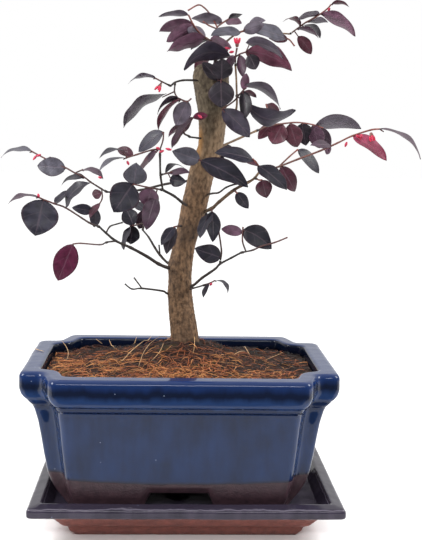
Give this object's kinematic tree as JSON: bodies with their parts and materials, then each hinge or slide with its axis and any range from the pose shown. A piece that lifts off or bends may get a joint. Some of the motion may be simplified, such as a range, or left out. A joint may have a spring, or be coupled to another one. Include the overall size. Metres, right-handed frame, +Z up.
{
  "type": "fringe flower bonsai in pot on drip tray",
  "caption": "Slender upright bonsai with dark purple leafy sprays and crimson buds, in an oblong glazed pot with cut-in corners, standing on a shallow glazed drip tray.",
  "frame": {"origin": "middle of the drip tray's flat underside, on the surface the tray stands on", "axes": "+Z up along the trunk, +X to the viewer's right along the pot's long side, -Y towards the viewer in front of the pot"},
  "size_m": [0.2802, 0.1574, 0.3552],
  "materials": {
    "dark_glazed_stoneware": "gloss glaze over brown stoneware",
    "blue_glazed_stoneware": "gloss cobalt glaze, unglazed brown foot",
    "black_plastic_mesh": "matt",
    "coir_soil": "loose coconut fibre and peat",
    "bark": "rough bark",
    "purple_leaf": "satin leaf",
    "crimson_petal": "soft petal"
  },
  "bodies": {
    "root": {"drip_tray": "dark_glazed_stoneware", "pot": "blue_glazed_stoneware", "drain_mesh": "black_plastic_mesh", "soil": "coir_soil", "trunk": "bark", "spray_left_reach": "purple_leaf", "spray_left_red": "purple_leaf", "spray_left_upper": "purple_leaf", "spray_left_back": "purple_leaf", "spray_front_left": "purple_leaf", "spray_front_low": "purple_leaf", "spray_front_centre": "purple_leaf", "spray_upper_left": "purple_leaf", "spray_upper_low": "purple_leaf", "spray_trunk_left": "purple_leaf", "spray_trunk_front": "purple_leaf", "spray_trunk_low": "purple_leaf", "spray_centre": "purple_leaf", "spray_riser_low": "purple_leaf", "spray_riser_top": "purple_leaf", "spray_crown_left": "purple_leaf", "spray_crown_top": "purple_leaf", "spray_crown_right": "purple_leaf", "spray_crown_far": "purple_leaf", "spray_top_right": "purple_leaf", "spray_right_back": "purple_leaf", "spray_right_node": "purple_leaf", "spray_right_low": "purple_leaf", "spray_right_under": "purple_leaf", "spray_right_reach": "purple_leaf", "spray_lower_right": "purple_leaf", "spray_lower_riser": "purple_leaf", "spray_back_mid": "purple_leaf", "spray_back_low": "purple_leaf", "spray_crown_back": "purple_leaf", "spray_low_twig": "purple_leaf", "bud_crown": "crimson_petal", "bud_left": "crimson_petal", "bud_right": "crimson_petal"}
  },
  "joints": []
}
